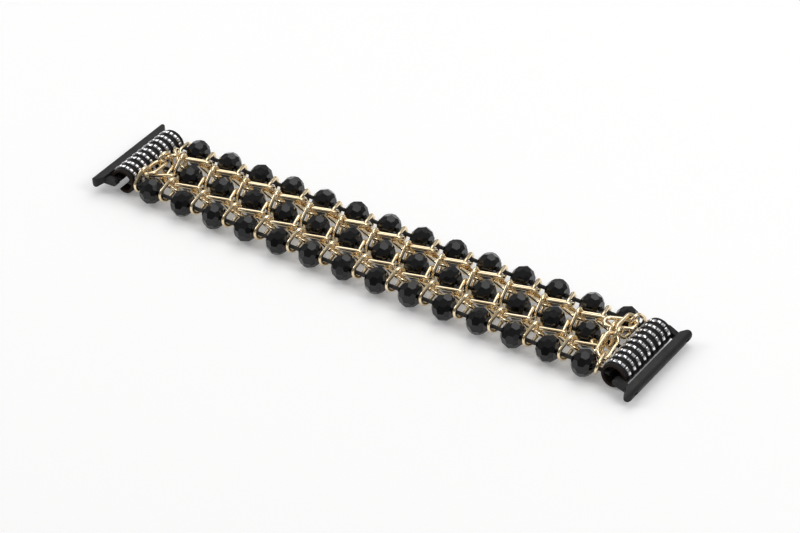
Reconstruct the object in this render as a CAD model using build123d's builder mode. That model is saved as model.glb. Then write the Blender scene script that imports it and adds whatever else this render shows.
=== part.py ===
# Beaded watch band: three rows of cut glass beads on elastic cords, woven with two chains.
# X runs along the band, Y across it, Z up. All sizes are in millimetres.
# The bore of the beads is at height zero while the pieces are made; save() then lifts
# each one, so that the band stands on Z = 0.
import os
from math import cos, radians, sin

from build123d import *

os.makedirs("parts", exist_ok=True)

# Layout of the beads
bead_pitch = 8.7
row_spacing = 8.9
columns = 14
bead_length = 4.4
bead_bore = 1.3
bead_facets = 10
belt_tilt = 20.0
belt_reach = 2.87
end_tilt = 48.0
end_flat_radius = 1.7
bead_turn = 23.0
bead_turn_step = 5
stand_height = 3.13

# Elastic cords, each with a knot at both ends
elastic_diameter = 0.9
knot_diameter = 1.5
knot_x = 1.55
knot_length = 1.3
knot_chamfer = 0.2

# Chain links, all of one wire
wire = 0.95
link_width = 4.0
short_link = 6.35
long_link = 7.65

# How the links hang: the centre of each, then the heading, rise and roll of its length in degrees.
# Edge links hang on the outer cords and middle links on the middle cord; over links run from an edge
# link to a middle link, under links from there to the next edge. Centres are measured from the
# middle cord for middle links and from the outer cord for the others, and from the middle of the
# column, or from the gap for edge links. The back chain is drawn in front and turned half round.
front_chain = {
    "edge": ((-0.41, 1.35, 1.01), (76.5, 32.7, 81.3)),
    "middle": ((-0.13, -1.66, -0.16), (-76.9, -7.2, 90.0)),
    "over": ((-1.86, 4.51, 1.18), (23.5, -4.5, -38.5)),
    "under": ((2.56, 3.79, 0.33), (-26.9, 7.1, -40.8)),
}
back_chain = {
    "edge": ((-0.01, 1.66, -0.03), (101.9, 3.3, 92.1)),
    "middle": ((-0.58, -1.31, 1.14), (-89.0, 43.6, 94.1)),
    "over": ((-2.59, 4.29, 1.45), (26.5, 6.5, 31.6)),
    "under": ((1.72, 4.92, 0.62), (-24.7, -5.5, 31.2)),
}

# Beside the sleeves the links are drawn in towards the beads: the outermost edge links, the links
# that reach them, and three cross links. Measured from the middle cord and the last gap, at the
# left end on the band turned half round.
end_links = {
    "right": {
        "edge_front": ((-1.30, -7.30, 0.30), (101.5, -1.9, 103.5)),
        "under": ((-3.36, -4.02, -0.19), (-35.2, -17.5, -43.9)),
        "edge_back": ((-1.18, 7.86, 1.36), (-94.2, 45.8, 76.6)),
        "over": ((-3.37, 4.16, 2.45), (-149.1, 4.4, -2.6)),
        "cross_front": ((-1.95, -3.39, 1.98), (92.6, 14.5, 39.7)),
        "cross_middle": ((-1.95, 0.10, 1.54), (57.9, 67.4, 124.0)),
        "cross_back": ((-1.69, 4.26, 2.36), (-90.0, 0.6, -48.6)),
    },
    "left": {
        "edge_front": ((-1.56, -7.20, 0.20), (97.7, 5.8, 90.9)),
        "under": ((-3.13, -3.96, 0.66), (-41.2, 7.0, 46.4)),
        "edge_back": ((-1.23, 7.82, 1.36), (-96.5, 49.6, 78.7)),
        "over": ((-3.54, 4.42, 1.29), (-142.3, -3.6, -34.0)),
        "cross_front": ((-2.36, -2.71, 2.17), (102.3, 28.1, 26.3)),
        "cross_middle": ((-2.05, 0.27, 1.69), (61.9, 77.4, 105.8)),
        "cross_back": ((-1.84, 4.18, 2.65), (-86.5, -5.3, -12.7)),
    },
}

# Rolled sleeves at the ends
sleeve_radius = 3.1
sleeve_width = 19.4
tape = 0.75
sleeve_from_bead = 4.5
roll_open_angle = -35.0
roll_tuck_angle = 230.0
roll_tuck_radius = 1.95
roll_tuck_arc = 80.0
eyelet_bore = 1.3
stud_rows = 9
stud_row_pitch = 2.05
studs_in_row = 10
stud_first_angle = -107.25
stud_step_angle = 19.5
stud_length = 0.92
stud_width = 0.85
stud_height = 0.35
stud_chamfer = 0.12
stud_sink = 0.2

# Spring bars in the sleeves, each drawn against the outer side of the roll
bar_shift = 1.5
bar_outer = 1.5
bar_inner = 1.15
bar_length = 19.2
bar_lip = 0.4
tip_diameter = 0.8
tip_hole = 0.9
tip_flange_diameter = 1.05
tip_flange_length = 0.6
tip_end = 10.85
tip_lip_gap = 0.05
coil_wire = 0.14
coil_wire_sides = 8
coil_diameter = 0.95
coil_turns = 24

# Slide-in lugs
lug_length = 26.0
lug_bulb = 2.3
lug_bulb_x = 3.8
lug_web_x = 2.35
lug_web_top = 0.95
lug_web_bottom = -0.6
lug_end_taper = 1.0
lug_corner = 0.8
lug_tilts = {"right": 16.0, "left": 5.0}
arm_inside = 9.85
arm_thickness = 1.4
arm_eye_radius = 0.9
arm_root_radius = 0.6
arm_root = (3.0, -0.2)
arm_hole_depth = 1.1
notch_from_end = 2.2
notch_length = 1.2
notch_depth = 0.45

# Sprung latch button in the middle of each lug, facing down
button_nose = 0.8
button_flange = 1.0
button_hole = 0.86
button_bore = 1.06
button_lip = 0.35
button_proud = 0.3
button_flange_length = 0.45
button_bore_length = 1.25
button_edge = 0.15
button_coil_wire = 0.1
button_coil_diameter = 0.8
button_coil_turns = 3

# Where things lie
last_bead = bead_pitch * (columns - 1) / 2
end_gap = last_bead + bead_pitch / 2
sleeve_x = last_bead + sleeve_from_bead + sleeve_radius
bar_x = sleeve_x + bar_shift
half_turn = Location((0, 0, 0), (0, 0, 180))
ends = {"right": Location(), "left": half_turn}


def save(piece, name):
    lifted = Pos(0, 0, stand_height) * piece.part
    lifted.label = name
    export_step(lifted, f"parts/{name}.step")


def column_x(column):
    return (column - (columns + 1) / 2) * bead_pitch


# One cut bead, its bore along X


def facet_planes(tilt, reach, offset):
    """Planes of one belt of facets; a positive tilt leans them towards +X."""
    for n in range(bead_facets):
        turn = radians(n * 360 / bead_facets + offset)
        across = cos(radians(tilt))
        normal = Vector(sin(radians(tilt)), across * cos(turn), across * sin(turn))
        yield Plane(origin=normal * reach, z_dir=normal)


half_step = 180 / bead_facets
end_reach = bead_length / 2 * sin(radians(end_tilt)) + end_flat_radius * cos(radians(end_tilt))

with BuildPart() as bead:
    with BuildSketch(Plane.YZ.offset(-bead_length / 2)):
        Circle(2 * belt_reach)
    extrude(amount=bead_length)
    for side in (1, -1):
        shift = 0 if side > 0 else half_step
        for plane in facet_planes(side * belt_tilt, belt_reach, shift):
            split(bisect_by=plane, keep=Keep.BOTTOM)
        for plane in facet_planes(side * end_tilt, end_reach, shift + half_step):
            split(bisect_by=plane, keep=Keep.BOTTOM)
    with BuildSketch(Plane.YZ.offset(-bead_length / 2)):
        Circle(bead_bore / 2)
    extrude(amount=bead_length, mode=Mode.SUBTRACT)

# Beads by column: one on each outer cord, and one on the middle cord half a pitch along
for column in range(1, columns + 1):
    x = column_x(column)
    spots = [(x, -row_spacing, 0), (x, row_spacing, 0)]
    if column < columns:
        spots.append((x + bead_pitch / 2, 0, 0))
    with BuildPart() as beads:
        for n, spot in enumerate(spots):
            with Locations(Location(spot, (bead_turn * (column + bead_turn_step * n), 0, 0))):
                add(bead.part)
    save(beads, f"beads_{column:02d}")


# Links: a closed loop of wire, its length along X, lying in the XY plane


def make_link(length):
    run = length - link_width
    bend = (link_width - wire) / 2
    with BuildPart() as link:
        with BuildLine() as loop:
            low = Line((-run / 2, -bend), (run / 2, -bend))
            JernArc(low @ 1, low % 1, bend, 180)
            high = Line((run / 2, bend), (-run / 2, bend))
            JernArc(high @ 1, high % 1, bend, 180)
        with BuildSketch(Plane(origin=low @ 0, z_dir=low % 0)):
            Circle(wire / 2)
        sweep(path=loop.wires()[0])
    return link.part


def hang(link, x, y):
    """Where a link lies, measured from (x, y)."""
    centre, turn = link
    heading, rise, roll = (radians(angle) for angle in turn)
    along = Vector(cos(heading) * cos(rise), sin(heading) * cos(rise), sin(rise))
    level = Vector(-sin(heading), cos(heading), 0)
    across = level * cos(roll) + along.cross(level) * sin(roll)
    origin = (centre[0] + x, centre[1] + y, centre[2])
    return Location(Plane(origin=origin, x_dir=along, z_dir=along.cross(across)))


def end_link(end, name):
    return ends[end] * hang(end_links[end][name], end_gap, 0)


short = make_link(short_link)
long = make_link(long_link)

# Links by column
for column in range(1, columns + 1):
    x = column_x(column)
    gap = x + bead_pitch / 2
    shorts = [hang(front_chain["middle"], x, 0), half_turn * hang(back_chain["middle"], -x, 0)]
    if column < columns:
        shorts.append(hang(front_chain["edge"], gap, -row_spacing))
        shorts.append(half_turn * hang(back_chain["edge"], -gap, -row_spacing))
    front_over = hang(front_chain["over"], x, -row_spacing)
    front_under = hang(front_chain["under"], x, -row_spacing)
    back_over = half_turn * hang(back_chain["over"], -x, -row_spacing)
    back_under = half_turn * hang(back_chain["under"], -x, -row_spacing)
    if column == columns:
        front_under = end_link("right", "under")
        back_over = end_link("right", "over")
    if column == 1:
        front_over = end_link("left", "over")
        back_under = end_link("left", "under")
    with BuildPart() as links:
        with Locations(shorts):
            add(short)
        with Locations([front_over, front_under, back_over, back_under]):
            add(long)
    save(links, f"links_{column:02d}")

# Cross chains beside the sleeves: the outermost edge links and three links between them
for end in ends:
    with BuildPart() as links:
        with Locations([end_link(end, name) for name in ("edge_front", "cross_middle", "edge_back")]):
            add(short)
        with Locations([end_link(end, name) for name in ("cross_front", "cross_back")]):
            add(long)
    save(links, f"cross_chain_{end}")

# Elastic cords through the beads, with a tight barrel knot at each end inside the sleeves
half_cord = sleeve_x - knot_x
with BuildPart() as cord:
    with BuildSketch(Plane.YZ.offset(-half_cord)):
        Circle(elastic_diameter / 2)
    extrude(amount=2 * half_cord)
    for x in (-half_cord, half_cord):
        with BuildSketch(Plane.YZ.offset(x - knot_length / 2)):
            Circle(knot_diameter / 2)
        extrude(amount=knot_length)
    chamfer(cord.edges().filter_by(GeomType.CIRCLE).group_by(SortBy.RADIUS)[-1], knot_chamfer)
print("length of each elastic cord:", round(2 * half_cord, 1))

for name, y in {"front": -row_spacing, "middle": 0, "back": row_spacing}.items():
    with BuildPart() as elastic:
        with Locations((0, y, 0)):
            add(cord.part)
    save(elastic, f"elastic_{name}")

# Sleeve: a tape rolled round the spring bar, its inner end tucked under
roll_radius = sleeve_radius - tape / 2
tuck = roll_radius - roll_tuck_radius
tuck_centre = (
    tuck * cos(radians(roll_tuck_angle)),
    tuck * sin(radians(roll_tuck_angle)),
)
end_plane = Plane(origin=(sleeve_x, -sleeve_width / 2, 0), x_dir=(1, 0, 0), z_dir=(0, -1, 0))

with BuildPart() as sleeve:
    with BuildSketch(end_plane):
        with BuildLine():
            CenterArc((0, 0), roll_radius, roll_open_angle, roll_tuck_angle - roll_open_angle)
            CenterArc(tuck_centre, roll_tuck_radius, roll_tuck_angle, roll_tuck_arc)
        trace(line_width=tape)
    extrude(amount=-sleeve_width)
    for y in (-row_spacing, 0, row_spacing):
        with BuildSketch(Plane.YZ.offset(sleeve_x - sleeve_radius - tape)):
            with Locations((y, 0)):
                Circle(eyelet_bore / 2)
        extrude(amount=tape + sleeve_radius / 2, mode=Mode.SUBTRACT)

# Studs set over the top of the sleeve in rows
with BuildPart() as stud:
    with BuildSketch(Plane.XY.offset(sleeve_radius - stud_sink)):
        Rectangle(stud_length, stud_width)
    extrude(amount=stud_sink + stud_height)
    chamfer(stud.faces().sort_by(Axis.Z)[-1].edges(), stud_chamfer)
    with BuildSketch(Plane.XZ.offset(-stud_width)):
        Circle(sleeve_radius)
    extrude(amount=2 * stud_width, mode=Mode.SUBTRACT)

# A stud is left out where a cord goes into the sleeve
stud_places = []
for row in range(stud_rows):
    y = (row - (stud_rows - 1) / 2) * stud_row_pitch
    cord_distance = min(abs(y), abs(row_spacing - abs(y)))
    for n in range(studs_in_row):
        angle = stud_first_angle + n * stud_step_angle
        at_cord = cord_distance < stud_width and abs(angle + 90) < stud_step_angle / 2
        if not at_cord:
            stud_places.append(Location((sleeve_x, y, 0), (0, angle, 0)))

with BuildPart() as studs:
    with Locations(stud_places):
        add(stud.part)

# Spring bar: a tube with lips, two flanged tips and the coil between them, drawn round the Y axis
with BuildPart() as bar_tube:
    with BuildSketch(Plane.XZ.offset(-bar_length / 2)):
        Circle(bar_outer / 2)
        Circle(tip_hole / 2, mode=Mode.SUBTRACT)
    extrude(amount=bar_length)
    with BuildSketch(Plane.XZ.offset(-bar_length / 2 + bar_lip)):
        Circle(bar_inner / 2)
    extrude(amount=bar_length - 2 * bar_lip, mode=Mode.SUBTRACT)

flange_outside = bar_length / 2 - bar_lip - tip_lip_gap
flange_inside = flange_outside - tip_flange_length
tip_planes = {"front": Plane.XZ, "back": Plane(origin=(0, 0, 0), x_dir=(1, 0, 0), z_dir=(0, 1, 0))}
tips = {}
for side, plane in tip_planes.items():
    with BuildPart() as tip:
        with BuildSketch(plane.offset(flange_inside)):
            Circle(tip_flange_diameter / 2)
        extrude(amount=tip_flange_length)
        with BuildSketch(plane.offset(flange_outside)):
            Circle(tip_diameter / 2)
        extrude(amount=tip_end - flange_outside)
    tips[side] = tip.part


def make_coil(height, turns, diameter, gauge):
    """A compression coil standing on XY; its wire keeps clear of both ends."""
    rise = height - 2 * gauge
    with BuildPart() as coil:
        with BuildLine() as path:
            Helix(rise / turns, rise, (diameter - gauge) / 2, center=(0, 0, gauge))
        with BuildSketch(Plane(origin=path.line @ 0, z_dir=path.line % 0)):
            RegularPolygon(gauge / 2, coil_wire_sides)
        sweep(path=path.line, is_frenet=True)
    return coil.part


bar_coil = make_coil(2 * flange_inside, coil_turns, coil_diameter, coil_wire)
button_coil_height = button_bore_length - button_flange_length
button_coil = make_coil(button_coil_height, button_coil_turns, button_coil_diameter, button_coil_wire)

# Lug: a rail with a round outer edge, a flat web and two arms that hold the bar. It is drawn level
# round the axis of the spring bar, and tilted afterwards.
bulb = lug_bulb / 2
lug_outside = lug_bulb_x + bulb
arm_outside = arm_inside + arm_thickness
flange_bottom = button_lip - bulb
flange_top = flange_bottom + button_flange_length
bore_top = flange_bottom + button_bore_length

with BuildPart() as lug:
    with BuildSketch(Plane.XZ.offset(lug_length / 2)):
        with Locations((lug_bulb_x, 0)):
            Circle(bulb)
        Polygon(
            (lug_bulb_x, bulb),
            (lug_web_x, lug_web_top),
            (lug_web_x, lug_web_bottom),
            (lug_bulb_x, -bulb),
            align=None,
        )
    extrude(amount=-lug_length)
    with BuildSketch(Plane.XY.offset(-bulb)) as outline:
        Polygon(
            (lug_web_x, -arm_outside),
            (lug_web_x + lug_end_taper, -lug_length / 2),
            (lug_outside, -lug_length / 2),
            (lug_outside, lug_length / 2),
            (lug_web_x + lug_end_taper, lug_length / 2),
            (lug_web_x, arm_outside),
            align=None,
        )
        tips_of_rail = outline.vertices().filter_by(lambda corner: abs(corner.Y) > arm_outside)
        fillet(tips_of_rail, lug_corner)
    extrude(amount=lug_bulb, mode=Mode.INTERSECT)
    with BuildSketch(Plane.XZ.offset(arm_inside)):
        Circle(arm_eye_radius)
        with Locations(arm_root):
            Circle(arm_root_radius)
        make_hull()
    extrude(amount=arm_thickness)
    with BuildSketch(Plane.XZ.offset(arm_inside)):
        Circle(tip_hole / 2)
    extrude(amount=arm_hole_depth, mode=Mode.SUBTRACT)
    with BuildSketch(Plane.XZ.offset(-arm_outside)):
        Circle(arm_eye_radius)
        with Locations(arm_root):
            Circle(arm_root_radius)
        make_hull()
    extrude(amount=arm_thickness)
    with BuildSketch(Plane.XZ.offset(-arm_inside - arm_hole_depth)):
        Circle(tip_hole / 2)
    extrude(amount=arm_hole_depth, mode=Mode.SUBTRACT)
    for y in (notch_from_end - lug_length / 2, lug_length / 2 - notch_from_end):
        with Locations((lug_outside, y, 0)):
            Box(2 * notch_depth, notch_length, bulb, mode=Mode.SUBTRACT)
    with BuildSketch(Plane.XY.offset(-bulb)):
        with Locations((lug_bulb_x, 0)):
            Circle(button_hole / 2)
    extrude(amount=bulb, mode=Mode.SUBTRACT)
    with BuildSketch(Plane.XY.offset(flange_bottom)):
        with Locations((lug_bulb_x, 0)):
            Circle(button_bore / 2)
    extrude(amount=button_bore_length, mode=Mode.SUBTRACT)

# Latch button: a nose through the underside of the lug and a flange that keeps it in
with BuildPart() as button:
    with BuildSketch(Plane.XY.offset(-bulb - button_proud)):
        with Locations((lug_bulb_x, 0)):
            Circle(button_nose / 2)
    extrude(amount=flange_bottom + bulb + button_proud)
    fillet(button.faces().sort_by(Axis.Z)[0].edges(), button_edge)
    with BuildSketch(Plane.XY.offset(flange_bottom + tip_lip_gap)):
        with Locations((lug_bulb_x, 0)):
            Circle(button_flange / 2)
    extrude(amount=button_flange_length - tip_lip_gap)

# Both ends: each piece of the right end, and the same turned half round for the left
level = Location((bar_x, 0, 0))
bar_coil_place = Location((bar_x, flange_inside, 0), (90, 0, 0))
for end, turn in ends.items():
    tilted = Location((bar_x, 0, 0), (0, lug_tilts[end], 0))
    end_pieces = {
        "sleeve": (sleeve.part, Location()),
        "studs": (studs.part, Location()),
        "spring_bar_tube": (bar_tube.part, level),
        "spring_bar_coil": (bar_coil, bar_coil_place),
        "lug": (lug.part, tilted),
        "latch_button": (button.part, tilted),
        "latch_coil": (button_coil, tilted * Location((lug_bulb_x, 0, flange_top))),
    }
    for piece_name, (solid, place) in end_pieces.items():
        with BuildPart() as piece:
            with Locations(turn * place):
                add(solid)
        save(piece, f"{piece_name}_{end}")

# The spring bar tips aren't turned, so that the front tip is at the front of both ends
for end, x in {"right": bar_x, "left": -bar_x}.items():
    for side, solid in tips.items():
        with BuildPart() as tip:
            with Locations((x, 0, 0)):
                add(solid)
        save(tip, f"spring_bar_tip_{side}_{end}")
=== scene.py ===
import random
from math import cos, pi, radians, sin, sqrt

import bmesh
import bpy
from mathutils import Euler, Matrix, Vector


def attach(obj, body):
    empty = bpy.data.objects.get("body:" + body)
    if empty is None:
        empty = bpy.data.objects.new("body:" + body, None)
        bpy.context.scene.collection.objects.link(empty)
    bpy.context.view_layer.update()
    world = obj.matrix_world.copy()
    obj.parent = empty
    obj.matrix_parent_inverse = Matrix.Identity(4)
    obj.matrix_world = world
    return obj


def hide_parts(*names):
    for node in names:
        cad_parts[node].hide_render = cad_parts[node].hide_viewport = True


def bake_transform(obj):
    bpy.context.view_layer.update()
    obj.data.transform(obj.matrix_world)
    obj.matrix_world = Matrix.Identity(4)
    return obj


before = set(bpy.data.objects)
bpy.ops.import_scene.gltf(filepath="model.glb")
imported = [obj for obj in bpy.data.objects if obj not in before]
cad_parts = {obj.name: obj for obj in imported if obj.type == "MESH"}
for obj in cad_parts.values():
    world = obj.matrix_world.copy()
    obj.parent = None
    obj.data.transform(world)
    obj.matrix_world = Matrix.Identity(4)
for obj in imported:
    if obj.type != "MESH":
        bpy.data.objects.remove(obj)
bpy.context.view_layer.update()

scene = bpy.context.scene
scene.view_settings.view_transform = "Standard"
mm = 0.001
standHeight = 3.13  # height of the bead bores above the floor, in mm
ends = {"right": 1, "left": -1}

# Band layout, in mm
band = {
    "pitch": 8.7,
    "rowSpacing": 8.9,
    "columns": 14,
    "beadLength": 4.4,
    "sleeveX": 64.15,
    "sleeveHinge": 61.5,
}
lastColumn = {"right": band["columns"], "left": 1}  # the bead column beside each sleeve


def columnX(column):
    return (column - (band["columns"] + 1) / 2) * band["pitch"]


def bodyName(column):
    return f"column_{column:02d}"


# Camera, floor and lights
cameraValues = {
    "azimuth": 33.5,
    "elevation": 36.5,
    "distance": 0.735,
    "lens": 151.9,
    "aim": (5.7 * mm, -1.9 * mm, 3.1 * mm),
}


def directionFrom(azimuth, elevation):
    a, e = radians(azimuth), radians(elevation)
    return Vector((sin(a) * cos(e), -cos(a) * cos(e), sin(e)))


def makeCamera():
    data = bpy.data.cameras.new("photoCamera")
    data.lens = cameraValues["lens"]
    data.sensor_width = 36
    data.clip_start = 0.01
    data.clip_end = 50
    camera = bpy.data.objects.new("photoCamera", data)
    scene.collection.objects.link(camera)
    back = directionFrom(cameraValues["azimuth"], cameraValues["elevation"])
    camera.location = Vector(cameraValues["aim"]) + back * cameraValues["distance"]
    camera.rotation_euler = (-back).to_track_quat("-Z", "Y").to_euler()
    scene.camera = camera


lightValues = {
    "key": {"from": (200, 62), "distance": 0.9, "size": 0.8, "power": 3.2},
    "side": {"from": (100, 46), "distance": 0.8, "size": 0.3, "power": 1.3},
    "fill": {"from": (-60, 40), "distance": 0.8, "size": 0.3, "power": 1.1},
}


def makeLights():
    for name, values in lightValues.items():
        data = bpy.data.lights.new(name, "AREA")
        data.shape = "SQUARE"
        data.size = values["size"]
        data.energy = values["power"]
        lamp = bpy.data.objects.new(name, data)
        scene.collection.objects.link(lamp)
        away = directionFrom(*values["from"])
        lamp.location = away * values["distance"]
        lamp.rotation_euler = (-away).to_track_quat("-Z", "Y").to_euler()


def newMaterial(name):
    material = bpy.data.materials.new(name)
    material.use_nodes = True
    tree = material.node_tree
    tree.nodes.clear()
    output = tree.nodes.new("ShaderNodeOutputMaterial")
    shader = tree.nodes.new("ShaderNodeBsdfPrincipled")
    tree.links.new(shader.outputs["BSDF"], output.inputs["Surface"])
    return material, tree, shader


# A soft sky, bright on one side; the spread is the cosine of the angle to that side
worldValues = {
    "brightFrom": (200, 60),
    "spread": (-0.5, 0.95),
    "dark": 0.12,
    "bright": 0.42,
    "colour": (1, 0.995, 0.985, 1),
}


def makeWorld():
    world = bpy.data.worlds.new("studio")
    scene.world = world
    world.use_nodes = True
    tree = world.node_tree
    tree.nodes.clear()
    output = tree.nodes.new("ShaderNodeOutputWorld")
    background = tree.nodes.new("ShaderNodeBackground")
    where = tree.nodes.new("ShaderNodeTexCoord")
    towards = tree.nodes.new("ShaderNodeVectorMath")
    towards.operation = "DOT_PRODUCT"
    towards.inputs[1].default_value = directionFrom(*worldValues["brightFrom"])
    spread = tree.nodes.new("ShaderNodeMapRange")
    spread.interpolation_type = "SMOOTHSTEP"
    spread.inputs["From Min"].default_value = worldValues["spread"][0]
    spread.inputs["From Max"].default_value = worldValues["spread"][1]
    spread.inputs["To Min"].default_value = worldValues["dark"]
    spread.inputs["To Max"].default_value = worldValues["bright"]
    background.inputs["Color"].default_value = worldValues["colour"]
    tree.links.new(where.outputs["Generated"], towards.inputs[0])
    tree.links.new(towards.outputs["Value"], spread.inputs["Value"])
    tree.links.new(spread.outputs["Result"], background.inputs["Strength"])
    tree.links.new(background.outputs["Background"], output.inputs["Surface"])


floorValues = {
    "halfSize": 3.0,
    "below": 0.2 * mm,
    "colour": (0.9, 0.9, 0.9, 1),
    "roughness": 0.7,
    "shine": 0.1,
    "glow": 0.19,
}


def makeFloor():
    mesh = bpy.data.meshes.new("studioFloor")
    s = floorValues["halfSize"]
    mesh.from_pydata([(-s, -s, 0), (s, -s, 0), (s, s, 0), (-s, s, 0)], [], [(0, 1, 2, 3)])
    floor = bpy.data.objects.new("studioFloor", mesh)
    scene.collection.objects.link(floor)
    floor.location.z = -floorValues["below"]
    material, tree, shader = newMaterial("floorPaper")
    shader.inputs["Base Color"].default_value = floorValues["colour"]
    shader.inputs["Roughness"].default_value = floorValues["roughness"]
    shader.inputs["Specular IOR Level"].default_value = floorValues["shine"]
    # the glow shows to the camera and in metal and glass, and lights nothing
    rays = tree.nodes.new("ShaderNodeLightPath")
    seen = rays.outputs["Is Camera Ray"]
    for kind in ("Is Glossy Ray", "Is Transmission Ray"):
        either = tree.nodes.new("ShaderNodeMath")
        either.operation = "MAXIMUM"
        tree.links.new(seen, either.inputs[0])
        tree.links.new(rays.outputs[kind], either.inputs[1])
        seen = either.outputs[0]
    glow = tree.nodes.new("ShaderNodeMath")
    glow.operation = "MULTIPLY"
    glow.inputs[1].default_value = floorValues["glow"]
    tree.links.new(seen, glow.inputs[0])
    shader.inputs["Emission Color"].default_value = (1, 1, 1, 1)
    tree.links.new(glow.outputs[0], shader.inputs["Emission Strength"])
    mesh.materials.append(material)


makeCamera()
makeLights()
makeWorld()
makeFloor()
print("camera, lights and floor are set")


# Node groups that several materials share
def newGroup(name, inputs, outputs):
    group = bpy.data.node_groups.new(name, "ShaderNodeTree")
    for label, kind, value in inputs:
        socket = group.interface.new_socket(label, in_out="INPUT", socket_type=kind)
        socket.default_value = value
    for label, kind in outputs:
        group.interface.new_socket(label, in_out="OUTPUT", socket_type=kind)
    groupIn = group.nodes.new("NodeGroupInput")
    groupOut = group.nodes.new("NodeGroupOutput")
    return group, groupIn, groupOut


def addNode(tree, kind, links=None, **settings):
    node = tree.nodes.new(kind)
    for key, value in settings.items():
        setattr(node, key, value)
    for key, source in (links or {}).items():
        tree.links.new(source, node.inputs[key])
    return node


def objectPlace(tree):
    return addNode(tree, "ShaderNodeTexCoord").outputs["Object"]


def noiseAt(tree, place, size, detail):
    noise = addNode(tree, "ShaderNodeTexNoise", {"Vector": place, "Scale": size})
    noise.inputs["Detail"].default_value = detail
    return noise.outputs["Fac"]


def stretchRange(tree, value, low, high, links=None):
    # the range from low to high becomes 0 to 1, or what the links give
    stretched = addNode(tree, "ShaderNodeMapRange", {"Value": value, **(links or {})})
    stretched.inputs["From Min"].default_value = low
    stretched.inputs["From Max"].default_value = high
    return stretched


variationValues = {"detail": 4, "patches": (0.35, 0.65)}


def makeVariation():
    # soft patches between two values, such as handling marks or an uneven finish
    group, groupIn, groupOut = newGroup(
        "toneVariation",
        [
            ("Size", "NodeSocketFloat", 400.0),
            ("Low", "NodeSocketFloat", 0.0),
            ("High", "NodeSocketFloat", 1.0),
        ],
        [("Value", "NodeSocketFloat")],
    )
    patches = noiseAt(group, objectPlace(group), groupIn.outputs["Size"], variationValues["detail"])
    limits = {"To Min": groupIn.outputs["Low"], "To Max": groupIn.outputs["High"]}
    spread = stretchRange(group, patches, *variationValues["patches"], limits)
    group.links.new(spread.outputs["Result"], groupOut.inputs["Value"])
    return group


scratchValues = {
    "turns": (0.35, 1.9),
    "tilt": 0.7,
    "stretch": (1, 14, 14),
    "detail": 2,
    "lines": (0.62, 0.7),
    "depth": 0.02 * mm,
}


def makeScratches():
    # fine hairlines in two directions, as a normal
    group, groupIn, groupOut = newGroup(
        "fineScratches",
        [("Size", "NodeSocketFloat", 900.0), ("Strength", "NodeSocketFloat", 0.2)],
        [("Normal", "NodeSocketVector")],
    )
    detail = scratchValues["detail"]
    place = objectPlace(group)
    lines = []
    for turn in scratchValues["turns"]:
        mapping = addNode(group, "ShaderNodeMapping", {"Vector": place})
        mapping.inputs["Rotation"].default_value = (turn, turn * scratchValues["tilt"], turn)
        mapping.inputs["Scale"].default_value = scratchValues["stretch"]
        streaks = noiseAt(group, mapping.outputs["Vector"], groupIn.outputs["Size"], detail)
        lines.append(stretchRange(group, streaks, *scratchValues["lines"]).outputs["Result"])
    either = addNode(group, "ShaderNodeMath", {0: lines[0], 1: lines[1]}, operation="MAXIMUM")
    sources = {"Height": either.outputs[0], "Strength": groupIn.outputs["Strength"]}
    bump = addNode(group, "ShaderNodeBump", sources, invert=True)
    bump.inputs["Distance"].default_value = scratchValues["depth"]
    group.links.new(bump.outputs["Normal"], groupOut.inputs["Normal"])
    return group


variationGroup = makeVariation()
scratchGroup = makeScratches()


def useGroup(tree, group, **values):
    node = tree.nodes.new("ShaderNodeGroup")
    node.node_tree = group
    for key, value in values.items():
        node.inputs[key].default_value = value
    return node


def addTone(tree, shader, colours, factor):
    # the base colour goes from the first colour to the second with the factor
    mix = tree.nodes.new("ShaderNodeMix")
    mix.data_type = "RGBA"
    tree.links.new(factor, mix.inputs["Factor"])
    mix.inputs["A"].default_value = (*colours[0], 1)
    mix.inputs["B"].default_value = (*colours[1], 1)
    tree.links.new(mix.outputs["Result"], shader.inputs["Base Color"])


def addPatches(tree, shader, colours, size):
    patches = useGroup(tree, variationGroup, Size=size, Low=0.0, High=1.0)
    addTone(tree, shader, colours, patches.outputs["Value"])


def addSmear(tree, shader, roughness, size):
    smear = useGroup(tree, variationGroup, Size=size, Low=roughness[0], High=roughness[1])
    tree.links.new(smear.outputs["Value"], shader.inputs["Roughness"])


def addScratches(tree, shader, size, strength):
    lines = useGroup(tree, scratchGroup, Size=size, Strength=strength)
    tree.links.new(lines.outputs["Normal"], shader.inputs["Normal"])


def addBump(tree, shader, height, strength, depth):
    bump = addNode(tree, "ShaderNodeBump", {"Height": height})
    bump.inputs["Strength"].default_value = strength
    bump.inputs["Distance"].default_value = depth
    tree.links.new(bump.outputs["Normal"], shader.inputs["Normal"])


# Beads of black cut glass: the CAD solids, with their edges eased
beadValues = {
    "colour": (0.002, 0.002, 0.0024, 1),
    "roughness": (0.03, 0.1),
    "smearSize": 350.0,
    "ior": 1.5,
    "shine": 0.4,
    "scratches": (700.0, 0.12),
    "edge": 0.06 * mm,
    "edgeAngle": 12,
}


def makeBeadGlass():
    material, tree, shader = newMaterial("blackCutGlass")
    shader.inputs["Base Color"].default_value = beadValues["colour"]
    shader.inputs["IOR"].default_value = beadValues["ior"]
    shader.inputs["Specular IOR Level"].default_value = beadValues["shine"]
    addSmear(tree, shader, beadValues["roughness"], beadValues["smearSize"])
    addScratches(tree, shader, *beadValues["scratches"])
    return material


def repaint(obj, material):
    for place in obj.material_slots:
        place.material = material
    if not obj.material_slots:
        obj.data.materials.append(material)


def easeEdges(obj, width, angle):
    bevel = obj.modifiers.new("easedEdges", "BEVEL")
    bevel.width = width
    bevel.segments = 2
    bevel.limit_method = "ANGLE"
    bevel.angle_limit = radians(angle)
    bevel.harden_normals = True


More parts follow.
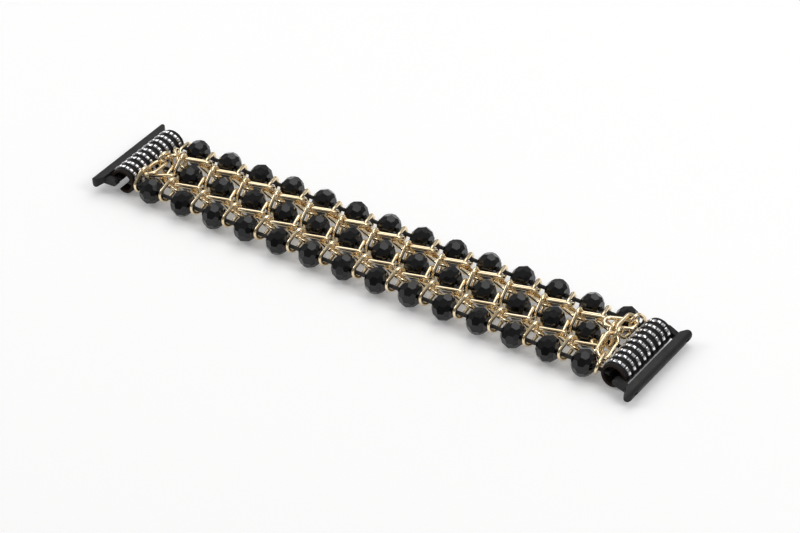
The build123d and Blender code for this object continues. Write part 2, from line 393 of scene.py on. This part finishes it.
beadGlass = makeBeadGlass()
for column in range(1, band["columns"] + 1):
    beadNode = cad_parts[f"beads_{column:02d}"]
    repaint(beadNode, beadGlass)
    easeEdges(beadNode, beadValues["edge"], beadValues["edgeAngle"])
print("beads are finished")


# Chain links: closed loops of plated wire
linkValues = {
    "wire": 0.95,
    "width": 4.0,
    "short": 6.35,
    "long": 7.65,
    "around": 14,
    "bendSteps": 16,
    "runSteps": 4,
    "seam": 0.04,
    "uneven": 0.012,
    "flatten": 0.93,
    "seed": 100,
    "crossSeed": 200,
}
# Where a link of each kind hangs. Its centre, in mm: middle links from their column on the middle cord,
# over and under links from their column on the front cord, edge links from the next gap on that cord,
# all at the cords' height. Then its heading, rise and roll, in degrees. The back chain is a chain of
# this kind turned half round.
frontChain = {
    "edge": ((-0.41, 1.35, 1.01), (76.5, 32.7, 81.3)),
    "middle": ((-0.13, -1.66, -0.16), (-76.9, -7.2, 90.0)),
    "over": ((-1.86, 4.51, 1.18), (23.5, -4.5, -38.5)),
    "under": ((2.56, 3.79, 0.33), (-26.9, 7.1, -40.8)),
}
backChain = {
    "edge": ((-0.01, 1.66, -0.03), (101.9, 3.3, 92.1)),
    "middle": ((-0.58, -1.31, 1.14), (-89.0, 43.6, 94.1)),
    "over": ((-2.59, 4.29, 1.45), (26.5, 6.5, 31.6)),
    "under": ((1.72, 4.92, 0.62), (-24.7, -5.5, 31.2)),
}
# The links beside the sleeves, from the last gap on the middle cord, and the left end's turned half round
endLinks = {
    "right": {
        "edgeFront": ((-1.30, -7.30, 0.30), (101.5, -1.9, 103.5)),
        "under": ((-3.36, -4.02, -0.19), (-35.2, -17.5, -43.9)),
        "edgeBack": ((-1.18, 7.86, 1.36), (-94.2, 45.8, 76.6)),
        "over": ((-3.37, 4.16, 2.45), (-149.1, 4.4, -2.6)),
        "crossFront": ((-1.95, -3.39, 1.98), (92.6, 14.5, 39.7)),
        "crossMiddle": ((-1.95, 0.10, 1.54), (57.9, 67.4, 124.0)),
        "crossBack": ((-1.69, 4.26, 2.36), (-90.0, 0.6, -48.6)),
    },
    "left": {
        "edgeFront": ((-1.56, -7.20, 0.20), (97.7, 5.8, 90.9)),
        "under": ((-3.13, -3.96, 0.66), (-41.2, 7.0, 46.4)),
        "edgeBack": ((-1.23, 7.82, 1.36), (-96.5, 49.6, 78.7)),
        "over": ((-3.54, 4.42, 1.29), (-142.3, -3.6, -34.0)),
        "crossFront": ((-2.36, -2.71, 2.17), (102.3, 28.1, 26.3)),
        "crossMiddle": ((-2.05, 0.27, 1.69), (61.9, 77.4, 105.8)),
        "crossBack": ((-1.84, 4.18, 2.65), (-86.5, -5.3, -12.7)),
    },
}
crossLinks = {
    "edgeFront": "short",
    "crossFront": "long",
    "crossMiddle": "short",
    "crossBack": "long",
    "edgeBack": "short",
}
endGap = columnX(band["columns"]) + band["pitch"] / 2


def hangMatrix(hang, x, y):
    # a link's length runs along its heading and rise, and its plane is rolled about that line
    centre, angles = hang
    heading, rise, roll = (radians(angle) for angle in angles)
    along = Vector((cos(heading) * cos(rise), sin(heading) * cos(rise), sin(rise)))
    level = Vector((-sin(heading), cos(heading), 0))
    across = level * cos(roll) + along.cross(level) * sin(roll)
    normal = along.cross(across)
    place = Matrix((along, across, normal)).transposed().to_4x4()
    place.translation = Vector((centre[0] + x, centre[1] + y, centre[2] + standHeight))
    return place


halfTurn = Matrix.Rotation(pi, 4, "Z")


def endMatrix(end, name):
    place = hangMatrix(endLinks[end][name], endGap, 0)
    return place if end == "right" else halfTurn @ place


def linkPath(length):
    # the centre line of a link, in its own plane: points, each with its outward direction
    run = length - linkValues["width"]
    bend = (linkValues["width"] - linkValues["wire"]) / 2
    path = []
    for side in (1, -1):
        for n in range(linkValues["bendSteps"] + 1):
            a = radians(-90 + 180 * n / linkValues["bendSteps"])
            x, y = side * (run / 2 + bend * cos(a)), side * bend * sin(a)
            path.append((x, y, side * cos(a), side * sin(a)))
        for n in range(1, linkValues["runSteps"]):
            t = n / linkValues["runSteps"]
            path.append((side * (run / 2 - run * t), side * bend, 0, side))
    return path


def ringAngles(count):
    return [2 * pi * k / count for k in range(count)]


def addTube(bm, rings, closed=True):
    # rings of points joined into a tube, with flat ends where it isn't closed into a loop
    count = len(rings)
    verts = [[bm.verts.new(point) for point in ring] for ring in rings]
    size = len(rings[0])
    spans = count if closed else count - 1
    for i in range(spans):
        near, far = verts[i], verts[(i + 1) % count]
        for k in range(size):
            face = bm.faces.new((near[k], near[(k + 1) % size], far[(k + 1) % size], far[k]))
            face.smooth = True
    if not closed:
        bm.faces.new(verts[0])
        bm.faces.new(verts[-1])
    return verts


def addLink(bm, place, length, rng):
    radius = linkValues["wire"] / 2
    path = linkPath(length)
    seamAt = len(path) - linkValues["runSteps"] // 2 - 1
    rings = []
    for i, (x, y, outX, outY) in enumerate(path):
        squeeze = 1 + rng.uniform(-linkValues["uneven"], linkValues["uneven"])
        if i == seamAt:
            squeeze = 1 - linkValues["seam"]
        ring = []
        for a in ringAngles(linkValues["around"]):
            out = radius * squeeze * cos(a)
            up = radius * squeeze * sin(a) * linkValues["flatten"]
            ring.append(place @ Vector((x + outX * out, y + outY * out, up)) * mm)
        rings.append(ring)
    addTube(bm, rings)


def hangingLinks(column):
    x = columnX(column)
    gap = x + band["pitch"] / 2
    row = band["rowSpacing"]
    frontOver = hangMatrix(frontChain["over"], x, -row)
    frontUnder = hangMatrix(frontChain["under"], x, -row)
    backOver = halfTurn @ hangMatrix(backChain["over"], -x, -row)
    backUnder = halfTurn @ hangMatrix(backChain["under"], -x, -row)
    if column == lastColumn["right"]:
        frontUnder, backOver = endMatrix("right", "under"), endMatrix("right", "over")
    if column == lastColumn["left"]:
        backUnder, frontOver = endMatrix("left", "under"), endMatrix("left", "over")
    links = [
        (hangMatrix(frontChain["middle"], x, 0), "short"),
        (halfTurn @ hangMatrix(backChain["middle"], -x, 0), "short"),
        (frontOver, "long"),
        (frontUnder, "long"),
        (backOver, "long"),
        (backUnder, "long"),
    ]
    if column < band["columns"]:
        links.append((hangMatrix(frontChain["edge"], gap, -row), "short"))
        links.append((halfTurn @ hangMatrix(backChain["edge"], -gap, -row), "short"))
    return links


def meshFrom(bm, name, *materials):
    bmesh.ops.recalc_face_normals(bm, faces=bm.faces)
    mesh = bpy.data.meshes.new(name)
    bm.to_mesh(mesh)
    bm.free()
    obj = bpy.data.objects.new(name, mesh)
    scene.collection.objects.link(obj)
    for material in materials:
        mesh.materials.append(material)
    return obj


goldValues = {
    "colours": ((0.83, 0.65, 0.4), (0.95, 0.81, 0.57)),
    "patchSize": 260.0,
    "roughness": (0.05, 0.12),
    "smearSize": 900.0,
    "scratches": (1200.0, 0.25),
}


def makePaleGold():
    material, tree, shader = newMaterial("paleGoldPlating")
    shader.inputs["Metallic"].default_value = 1.0
    addPatches(tree, shader, goldValues["colours"], goldValues["patchSize"])
    addSmear(tree, shader, goldValues["roughness"], goldValues["smearSize"])
    addScratches(tree, shader, *goldValues["scratches"])
    return material


paleGold = makePaleGold()
for column in range(1, band["columns"] + 1):
    rng = random.Random(linkValues["seed"] + column)
    bm = bmesh.new()
    for place, size in hangingLinks(column):
        addLink(bm, place, linkValues[size], rng)
    chain = meshFrom(bm, f"chainLinks_{column:02d}", paleGold)
    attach(chain, bodyName(column))
    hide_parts(f"links_{column:02d}")

for end, side in ends.items():
    rng = random.Random(linkValues["crossSeed"] + side)
    bm = bmesh.new()
    for name, size in crossLinks.items():
        addLink(bm, endMatrix(end, name), linkValues[size], rng)
    chain = meshFrom(bm, f"crossLinks_{end}", paleGold)
    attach(chain, bodyName(lastColumn[end]))
    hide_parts(f"cross_chain_{end}")
print("chains are finished")


# Elastic cords: a covered round elastic between the beads, and a knot inside each sleeve.
cordValues = {
    "diameter": 0.9,
    "around": 12,
    "step": 0.45,
    "pastMiddle": 1.0,
    "bendBefore": 2.0,
    "bendAfter": 1.2,
    "colours": ((0.008, 0.008, 0.008), (0.035, 0.034, 0.033)),
    "weaveTurns": (0.9, -0.9),
    "weaveSize": 1900,
    "weaveWaver": 0.6,
    "weaveStrength": 0.6,
    "weaveDepth": 0.06 * mm,
    "roughness": (0.55, 0.75),
    "smearSize": 900.0,
}
knotValues = {
    "x": 62.6,
    "wire": 0.42,
    "reach": 0.3,
    "steps": 72,
    "around": 10,
}


def makeElastic():
    material, tree, shader = newMaterial("coveredElastic")
    place = objectPlace(tree)
    stripes = []
    for turn in cordValues["weaveTurns"]:
        mapping = addNode(tree, "ShaderNodeMapping", {"Vector": place})
        mapping.inputs["Rotation"].default_value = (turn, 0, turn)
        wave = addNode(tree, "ShaderNodeTexWave", {"Vector": mapping.outputs["Vector"]})
        wave.inputs["Scale"].default_value = cordValues["weaveSize"]
        wave.inputs["Distortion"].default_value = cordValues["weaveWaver"]
        stripes.append(wave.outputs["Fac"])
    both = addNode(tree, "ShaderNodeMath", {0: stripes[0], 1: stripes[1]}, operation="MULTIPLY")
    weave = both.outputs[0]
    addTone(tree, shader, cordValues["colours"], weave)
    addBump(tree, shader, weave, cordValues["weaveStrength"], cordValues["weaveDepth"])
    addSmear(tree, shader, cordValues["roughness"], cordValues["smearSize"])
    return material


elastic = makeElastic()
cordRows = {"front": -band["rowSpacing"], "middle": 0.0, "back": band["rowSpacing"]}


def ringAcross(x, y, radius, around):
    # a ring round a line along x, at the cords' height
    ring = []
    for a in ringAngles(around):
        ring.append(Vector((x, y + radius * cos(a), standHeight + radius * sin(a))) * mm)
    return ring


def cordPiece(name, rowName, low, high):
    y = cordRows[rowName]
    radius = cordValues["diameter"] / 2
    count = max(4, round((high - low) / cordValues["step"]))
    rings = []
    for i in range(count + 1):
        x = low + (high - low) * i / count
        rings.append(ringAcross(x, y, radius, cordValues["around"]))
    bm = bmesh.new()
    addTube(bm, rings, closed=False)
    piece = meshFrom(bm, name, elastic)
    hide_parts(f"elastic_{rowName}")
    return piece


def bendPiece(piece):
    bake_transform(piece)


halfPitch = band["pitch"] / 2
for rowName in ("front", "back"):
    for column in range(1, band["columns"]):
        low, high = columnX(column), columnX(column + 1)
        piece = cordPiece(f"cord_{rowName}_{column:02d}", rowName, low, high)
        bendPiece(piece)

# The middle beads sit half a pitch further on, so the middle cord's two end pieces are shorter
for column in range(1, band["columns"] - 1):
    low, high = columnX(column) + halfPitch, columnX(column + 1) + halfPitch
    piece = cordPiece(f"cord_middle_{column:02d}", "middle", low, high)
    bendPiece(piece)
last = band["columns"]
lastMiddle = columnX(last - 1) + halfPitch
piece = cordPiece(f"cord_middle_{last - 1}", "middle", lastMiddle, columnX(last) + cordValues["pastMiddle"])
bendPiece(piece)
piece = cordPiece("cord_middle_00", "middle", columnX(1) - cordValues["pastMiddle"], columnX(1) + halfPitch)
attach(piece, bodyName(1))


def trefoil(t):
    x = sin(3 * t)
    y = sin(t) + 2 * sin(2 * t)
    z = cos(t) - 2 * cos(2 * t)
    return Vector((x, y, z)) * 0.5 * knotValues["reach"]


def knotMesh(x, y):
    # an overhand knot: a tube along a trefoil
    centre = Vector((x, y, standHeight))
    wire = knotValues["wire"] / 2
    fromAxis = Vector((1, 0.2, 0.1))
    nudge = 0.01
    rings = []
    for t in ringAngles(knotValues["steps"]):
        here = centre + trefoil(t)
        ahead = (trefoil(t + nudge) - trefoil(t - nudge)).normalized()
        side = ahead.cross(fromAxis).normalized()
        up = side.cross(ahead)
        ring = []
        for a in ringAngles(knotValues["around"]):
            ring.append((here + side * wire * cos(a) + up * wire * sin(a)) * mm)
        rings.append(ring)
    bm = bmesh.new()
    addTube(bm, rings)
    return bm


for end, side in ends.items():
    lastX = columnX(band["columns"])
    for rowName, rowY in cordRows.items():
        startX = lastX + cordValues["pastMiddle"] if rowName == "middle" else lastX
        low, high = sorted((side * startX, side * knotValues["x"]))
        piece = cordPiece(f"cord_{rowName}_{end}", rowName, low, high)
        bendPiece(piece)
        knot = meshFrom(knotMesh(side * knotValues["x"], rowY), f"knot_{rowName}_{end}", elastic)
        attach(knot, f"sleeve_{end}")
        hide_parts(f"elastic_{rowName}")
print("cords are finished")


# Sleeves: a leather tape rolled round the spring bar
sleeveValues = {
    "radius": 3.1,
    "width": 19.4,
    "tape": 0.75,
    "openAngle": -35.0,
    "tuckAngle": 230.0,
    "tuckRadius": 1.95,
    "tuckArc": 80.0,
    "angleStep": 4.0,
    "acrossStep": 0.17,
    "innerSteps": 20,
    "edgeRound": 0.16,
    "edgeSteps": 4,
    "endSteps": 3,
    "endThinness": 0.72,
    "uneven": 0.012,
    "stripWidth": 1.25,
    "stripHeight": 0.09,
    "stripSlope": 0.14,
    "eyelet": 1.3,
    "eyeletFrom": -4.2,
    "eyeletTo": -1.2,
    "eyeletSides": 24,
    "seed": 31,
}
# A setting, its stone and its prongs are stacks of levels, from below. A level of the setting or the
# stone is its share of the stud's outline, how far in it lies, its corner and its height over the rim,
# and one of a prong its half width, corner and height over the rim.
studValues = {
    "rows": 9,
    "rowPitch": 2.05,
    "perRow": 10,
    "firstAngle": -107.25,
    "stepAngle": 19.5,
    "tilt": 2.5,
    "waver": 1.2,
    "length": 0.92,
    "width": 0.85,
    "rim": 0.14,
    "setting": ((1, 0, 0.12, -0.22), (1, 0, 0.12, -0.04), (1, 0.03, 0.11, 0), (1, 0.09, 0.09, 0)),
    "stone": ((1, 0.1, 0.08, -0.03), (1, 0.1, 0.08, 0.03), (0.78, 0, 0.1, 0.1), (0.52, 0, 0.07, 0.19)),
    "prongIn": 0.1,
    "prong": ((0.075, 0.03, -0.06), (0.075, 0.03, 0.05), (0.04, 0.015, 0.1)),
    "seed": 57,
}
grainValues = {
    "bendSize": 900,
    "bend": 0.4 * mm,
    "pebbles": (0.0, 0.28),
    "depth": 0.05 * mm,
}
leatherValues = {
    "sleeveLeather": {
        "colours": ((0.003, 0.0025, 0.0025), (0.009, 0.0075, 0.007)),
        "roughness": (0.4, 0.58),
        "grainSize": 2600.0,
        "grainStrength": 0.55,
    },
    "leatherBack": {
        "colours": ((0.016, 0.01, 0.008), (0.045, 0.03, 0.024)),
        "roughness": (0.7, 0.9),
        "grainSize": 5200.0,
        "grainStrength": 0.9,
    },
    "smearSize": 420.0,
    "shine": 0.2,
}


def makeLeatherGrain():
    # pebbled grain with fine creases, as a normal and a mask of the creases
    group, groupIn, groupOut = newGroup(
        "leatherGrain",
        [("Size", "NodeSocketFloat", 2600.0), ("Strength", "NodeSocketFloat", 0.5)],
        [("Normal", "NodeSocketVector"), ("Creases", "NodeSocketFloat")],
    )
    place = objectPlace(group)
    bend = addNode(group, "ShaderNodeTexNoise", {"Vector": place})
    bend.inputs["Scale"].default_value = grainValues["bendSize"]
    shift = addNode(group, "ShaderNodeVectorMath", {0: bend.outputs["Color"]}, operation="SCALE")
    shift.inputs["Scale"].default_value = grainValues["bend"]
    shifted = addNode(group, "ShaderNodeVectorMath", {0: place, 1: shift.outputs["Vector"]}, operation="ADD")
    sources = {"Vector": shifted.outputs["Vector"], "Scale": groupIn.outputs["Size"]}
    cells = addNode(group, "ShaderNodeTexVoronoi", sources, feature="DISTANCE_TO_EDGE")
    pebbles = stretchRange(group, cells.outputs["Distance"], *grainValues["pebbles"])
    pebbles.interpolation_type = "SMOOTHSTEP"
    sources = {"Height": pebbles.outputs["Result"], "Strength": groupIn.outputs["Strength"]}
    bump = addNode(group, "ShaderNodeBump", sources)
    bump.inputs["Distance"].default_value = grainValues["depth"]
    group.links.new(bump.outputs["Normal"], groupOut.inputs["Normal"])
    group.links.new(pebbles.outputs["Result"], groupOut.inputs["Creases"])
    return group


leatherGroup = makeLeatherGrain()


def makeLeather(name):
    v = leatherValues[name]
    material, tree, shader = newMaterial(name)
    grain = useGroup(tree, leatherGroup, Size=v["grainSize"], Strength=v["grainStrength"])
    tree.links.new(grain.outputs["Normal"], shader.inputs["Normal"])
    addTone(tree, shader, v["colours"], grain.outputs["Creases"])
    addSmear(tree, shader, v["roughness"], leatherValues["smearSize"])
    shader.inputs["Specular IOR Level"].default_value = leatherValues["shine"]
    return material


sleeveLeather = makeLeather("sleeveLeather")
leatherBack = makeLeather("leatherBack")


def stripRelief(y):
    # the leather lies lower between the rows of studs than under them
    if abs(y) > (studValues["rows"] / 2) * studValues["rowPitch"]:
        return -sleeveValues["stripHeight"]
    row = round(y / studValues["rowPitch"] + (studValues["rows"] - 1) / 2)
    row = max(0, min(studValues["rows"] - 1, row))
    fromRow = abs(y - (row - (studValues["rows"] - 1) / 2) * studValues["rowPitch"])
    t = (fromRow - sleeveValues["stripWidth"] / 2) / sleeveValues["stripSlope"] + 0.5
    t = max(0.0, min(1.0, t))
    return -sleeveValues["stripHeight"] * t * t * (3 - 2 * t)


def rollPath():
    # the middle of the tape, seen from the end: points, each with its outward direction
    v = sleeveValues
    reach = v["radius"] - v["tape"] / 2
    path = []
    count = round((v["tuckAngle"] - v["openAngle"]) / v["angleStep"])
    for n in range(count + 1):
        a = radians(v["openAngle"] + (v["tuckAngle"] - v["openAngle"]) * n / count)
        path.append((Vector((reach * cos(a), reach * sin(a))), Vector((cos(a), sin(a)))))
    away = reach - v["tuckRadius"]
    t = radians(v["tuckAngle"])
    centre = Vector((away * cos(t), away * sin(t)))
    count = round(v["tuckArc"] / v["angleStep"])
    for n in range(1, count + 1):
        a = radians(v["tuckAngle"] + v["tuckArc"] * n / count)
        path.append((centre + v["tuckRadius"] * Vector((cos(a), sin(a))), Vector((cos(a), sin(a)))))
    return path


def tapeRing():
    # round the tape's cross section: how far across, how far out, and whether on the studded side
    v = sleeveValues
    top = v["tape"] / 2
    r = v["edgeRound"]
    flat = v["width"] / 2 - r
    steps = v["edgeSteps"]
    angles = [pi / 2 * n / steps for n in range(steps)]
    count = round(2 * flat / v["acrossStep"])
    ring = []
    for n in range(count + 1):
        y = -flat + 2 * flat * n / count
        ring.append((y, top + stripRelief(y), True))
    for n, a in enumerate(angles[1:], start=1):
        lower = v["stripHeight"] * (1 - n / steps)
        ring.append((flat + r * sin(a), top - r + r * cos(a) - lower, False))
    for a in angles:
        ring.append((flat + r * cos(a), -top + r - r * sin(a), False))
    for n in range(v["innerSteps"] + 1):
        ring.append((flat - 2 * flat * n / v["innerSteps"], -top, False))
    for a in angles[1:]:
        ring.append((-flat - r * sin(a), -top + r - r * cos(a), False))
    for n, a in enumerate(angles):
        lower = v["stripHeight"] * (n / steps)
        ring.append((-flat - r * cos(a), top - r + r * sin(a) - lower, False))
    return ring


def makeSleeve(end, side):
    v = sleeveValues
    path = rollPath()
    rng = random.Random(v["seed"] + side)
    ring = tapeRing()
    rings = []
    for i, (point, out) in enumerate(path):
        fromEnd = min(i, len(path) - 1 - i) / v["endSteps"]
        thin = v["endThinness"] + (1 - v["endThinness"]) * sqrt(min(1.0, fromEnd))
        wave = rng.uniform(-v["uneven"], v["uneven"])
        loop = []
        for y, height, isOuter in ring:
            p = point + out * (height * thin + wave)
            loop.append(Vector((side * (band["sleeveX"] + p.x), side * y, standHeight + p.y)) * mm)
        rings.append(loop)
    bm = bmesh.new()
    verts = addTube(bm, rings, closed=False)
    outerCount = sum(isOuter for y, height, isOuter in ring)
    outerVerts = {vert for loop in verts for vert in loop[:outerCount]}
    for face in bm.faces:
        face.material_index = 0 if all(vert in outerVerts for vert in face.verts) else 1
    sleeve = meshFrom(bm, f"rolledSleeve_{end}", sleeveLeather, leatherBack)
    cutEyelets(sleeve, side)
    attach(sleeve, f"sleeve_{end}")
    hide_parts(f"sleeve_{end}")


def cutEyelets(sleeve, side):
    v = sleeveValues
    bm = bmesh.new()
    for y in cordRows.values():
        rings = []
        for x in (v["eyeletFrom"], v["eyeletTo"]):
            rings.append(ringAcross(side * (band["sleeveX"] + x), y, v["eyelet"] / 2, v["eyeletSides"]))
        addTube(bm, rings, closed=False)
    cutter = meshFrom(bm, "eyeletCutter")
    cut = sleeve.modifiers.new("eyelets", "BOOLEAN")
    cut.operation = "DIFFERENCE"
    cut.solver = "EXACT"
    cut.object = cutter
    with bpy.context.temp_override(object=sleeve, active_object=sleeve, selected_objects=[sleeve]):
        bpy.ops.object.modifier_apply(modifier=cut.name)
    bpy.data.objects.remove(cutter)


for end, side in ends.items():
    makeSleeve(end, side)
print("sleeves are finished")


# Studs: small square settings, each with a cut stone, in rows over the sleeves
silverValues = {
    "studSilver": {"colour": (0.5, 0.5, 0.52), "roughness": (0.22, 0.36), "patchSize": 800.0},
    "foiledStone": {"colour": (0.97, 0.97, 0.98), "roughness": (0.06, 0.14), "patchSize": 1300.0},
    "darker": 0.86,
    "smearShare": 2.3,
    "scratches": (1500.0, 0.2),
}


def makeSilver(name):
    v = silverValues[name]
    material, tree, shader = newMaterial(name)
    shader.inputs["Metallic"].default_value = 1.0
    darker = tuple(part * silverValues["darker"] for part in v["colour"])
    addPatches(tree, shader, (darker, v["colour"]), v["patchSize"])
    addSmear(tree, shader, v["roughness"], v["patchSize"] * silverValues["smearShare"])
    addScratches(tree, shader, *silverValues["scratches"])
    return material


studSilver = makeSilver("studSilver")
stoneSilver = makeSilver("foiledStone")


def addStack(bm, place, levels, material):
    # rectangles with cut corners, one over another: half length, half width, corner and height of each
    loops = []
    for length, width, corner, height in levels:
        outline = [
            (length - corner, -width), (length, corner - width),
            (length, width - corner), (length - corner, width),
            (corner - length, width), (-length, width - corner),
            (-length, corner - width), (corner - length, -width),
        ]
        loops.append([bm.verts.new(place @ Vector((x, y, height)) * mm) for x, y in outline])
    corners = len(loops[0])
    for low, high in zip(loops, loops[1:]):
        for k in range(corners):
            after = (k + 1) % corners
            bm.faces.new((low[k], low[after], high[after], high[k])).material_index = material
    bm.faces.new(loops[-1]).material_index = material
    bm.faces.new(list(reversed(loops[0]))).material_index = material


def addStud(bm, place):
    v = studValues
    halfLength, halfWidth = v["length"] / 2, v["width"] / 2
    rim = sleeveValues["radius"] + v["rim"]
    for material, name in enumerate(("setting", "stone")):
        levels = []
        for share, inside, corner, height in v[name]:
            levels.append((halfLength * share - inside, halfWidth * share - inside, corner, rim + height))
        addStack(bm, place, levels, material)
    prong = [(half, half, corner, rim + height) for half, corner, height in v["prong"]]
    for x in (v["prongIn"] - halfLength, halfLength - v["prongIn"]):
        for y in (v["prongIn"] - halfWidth, halfWidth - v["prongIn"]):
            addStack(bm, place @ Matrix.Translation((x, y, 0)), prong, 0)


def makeStuds(end, side):
    v = studValues
    rng = random.Random(v["seed"] + side)
    bm = bmesh.new()
    turned = Matrix.Identity(4) if side > 0 else halfTurn
    for row in range(v["rows"]):
        y = (row - (v["rows"] - 1) / 2) * v["rowPitch"]
        fromCord = min(abs(y), abs(band["rowSpacing"] - abs(y)))
        for n in range(v["perRow"]):
            angle = v["firstAngle"] + n * v["stepAngle"]
            # no stud where a cord runs in
            if fromCord < v["width"] and abs(angle + 90) < v["stepAngle"] / 2:
                continue
            tilt = rng.uniform(-v["tilt"], v["tilt"])
            turn = angle + rng.uniform(-v["waver"], v["waver"])
            lean = Euler((radians(tilt), radians(turn), 0)).to_matrix().to_4x4()
            addStud(bm, turned @ Matrix.Translation((band["sleeveX"], y, standHeight)) @ lean)
    studs = meshFrom(bm, f"studRows_{end}", studSilver, stoneSilver)
    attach(studs, f"sleeve_{end}")
    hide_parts(f"studs_{end}")


for end, side in ends.items():
    makeStuds(end, side)
print("studs are finished")


# Spring bars and latch parts: turned steel
steelValues = {
    "colours": ((0.42, 0.42, 0.43), (0.62, 0.62, 0.63)),
    "latheSize": 2600,
    "latheWaver": 0.4,
    "latheStrength": 0.2,
    "latheDepth": 0.02 * mm,
    "roughness": (0.2, 0.36),
    "smearSize": 900.0,
    "nodes": (
        "spring_bar_tube",
        "spring_bar_tip_front",
        "spring_bar_tip_back",
        "spring_bar_coil",
        "latch_button",
        "latch_coil",
    ),
}


def makeTurnedSteel():
    material, tree, shader = newMaterial("turnedSteel")
    shader.inputs["Metallic"].default_value = 1.0
    lathe = addNode(tree, "ShaderNodeTexWave", {"Vector": objectPlace(tree)}, bands_direction="Y")
    lathe.inputs["Scale"].default_value = steelValues["latheSize"]
    lathe.inputs["Distortion"].default_value = steelValues["latheWaver"]
    marks = lathe.outputs["Fac"]
    addTone(tree, shader, steelValues["colours"], marks)
    addBump(tree, shader, marks, steelValues["latheStrength"], steelValues["latheDepth"])
    addSmear(tree, shader, steelValues["roughness"], steelValues["smearSize"])
    return material


turnedSteel = makeTurnedSteel()
for end in ends:
    for name in steelValues["nodes"]:
        repaint(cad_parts[f"{name}_{end}"], turnedSteel)


# Lugs: satin black metal
lugValues = {
    "colours": ((0.01, 0.0097, 0.0095), (0.017, 0.0165, 0.016)),
    "patchSize": 180.0,
    "roughness": (0.42, 0.54),
    "smearSize": 520.0,
    "shine": 0.28,
    "blastSize": 9000,
    "blastStrength": 0.25,
    "blastDepth": 0.02 * mm,
    "edge": 0.035 * mm,
    "edgeAngle": 35,
}


def makeSatinBlack():
    material, tree, shader = newMaterial("satinBlackMetal")
    shader.inputs["Specular IOR Level"].default_value = lugValues["shine"]
    addPatches(tree, shader, lugValues["colours"], lugValues["patchSize"])
    addSmear(tree, shader, lugValues["roughness"], lugValues["smearSize"])
    blast = addNode(tree, "ShaderNodeTexNoise", {"Vector": objectPlace(tree)})
    blast.inputs["Scale"].default_value = lugValues["blastSize"]
    addBump(tree, shader, blast.outputs["Fac"], lugValues["blastStrength"], lugValues["blastDepth"])
    return material


satinBlack = makeSatinBlack()
for end in ends:
    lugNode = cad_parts[f"lug_{end}"]
    repaint(lugNode, satinBlack)
    easeEdges(lugNode, lugValues["edge"], lugValues["edgeAngle"])
print("lugs and spring bars are finished")
